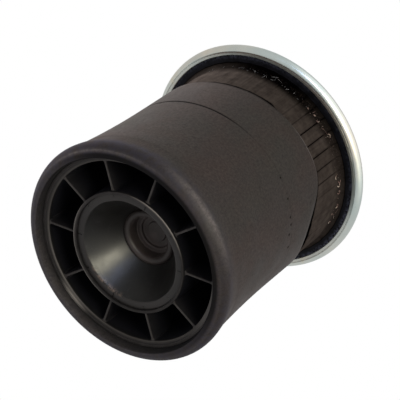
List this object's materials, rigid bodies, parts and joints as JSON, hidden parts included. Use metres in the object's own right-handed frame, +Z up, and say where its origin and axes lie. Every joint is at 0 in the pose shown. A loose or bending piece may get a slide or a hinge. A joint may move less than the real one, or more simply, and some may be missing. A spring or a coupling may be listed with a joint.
{
  "type": "air suspension spring",
  "caption": "Rolling lobe air spring: rubber bellows rolled down a ribbed plastic piston with a cone seat, closed by a crimped steel bead plate with studs and an air port.",
  "frame": {"origin": "centre of the piston's base face, on the spring's axis, in the plane that the piston stands on", "axes": "+Z up the spring's axis from the piston to the bead plate; +X through the air stud, in the plane of the two studs and of one rib"},
  "size_m": [0.2286, 0.2286, 0.2666],
  "materials": {
    "piston_plastic": "satin moulded glass-filled plastic",
    "cone_plastic": "polished moulded plastic",
    "bellows_rubber": "matte vulcanised rubber with a light bloom",
    "neck_rubber": "matte rubber skin with axial cord lines",
    "liner_rubber": "smooth inner rubber",
    "bump_rubber": "moulded solid rubber",
    "cord_fabric": "calendered nylon cord",
    "zinc_steel": "bright zinc plating",
    "plain_steel": "plain drawn steel"
  },
  "bodies": {
    "piston": {"piston_skirt": "piston_plastic", "piston_ribs": "piston_plastic", "piston_hub": "piston_plastic", "piston_deck": "piston_plastic", "centre_post": "piston_plastic", "cone_cup": "cone_plastic", "threaded_insert": "plain_steel", "lower_bead": "bellows_rubber", "lower_bead_core": "plain_steel", "clamp_plate": "zinc_steel", "clamp_bolt": "zinc_steel", "clamp_washer": "zinc_steel", "bump_stop": "bump_rubber", "bump_stop_base": "plain_steel", "leg_cover": "bellows_rubber", "leg_plies": "cord_fabric", "leg_liner": "liner_rubber"},
    "lobe": {"lobe_cover": "bellows_rubber", "lobe_plies": "cord_fabric", "lobe_liner": "liner_rubber"},
    "top_plate": {"sleeve_cover": "bellows_rubber", "sleeve_plies": "cord_fabric", "sleeve_liner": "liner_rubber", "neck_band": "neck_rubber", "upper_bead": "bellows_rubber", "upper_bead_core": "plain_steel", "bead_plate": "zinc_steel", "crimped_rim": "zinc_steel", "mounting_stud": "zinc_steel", "air_stud": "zinc_steel"}
  },
  "joints": [
    {"name": "lobe_roll", "type": "slide", "parent": "piston", "child": "lobe", "axis": [0, 0, 1], "range_m": [0, 0.12], "deforming": ["leg_cover", "leg_plies", "leg_liner"]},
    {"name": "plate_rise", "type": "slide", "parent": "lobe", "child": "top_plate", "axis": [0, 0, 1], "range_m": [0, 0.12]}
  ],
  "couplings": [
    {"joint": "lobe_roll", "follows": "plate_rise", "ratio": 1}
  ]
}
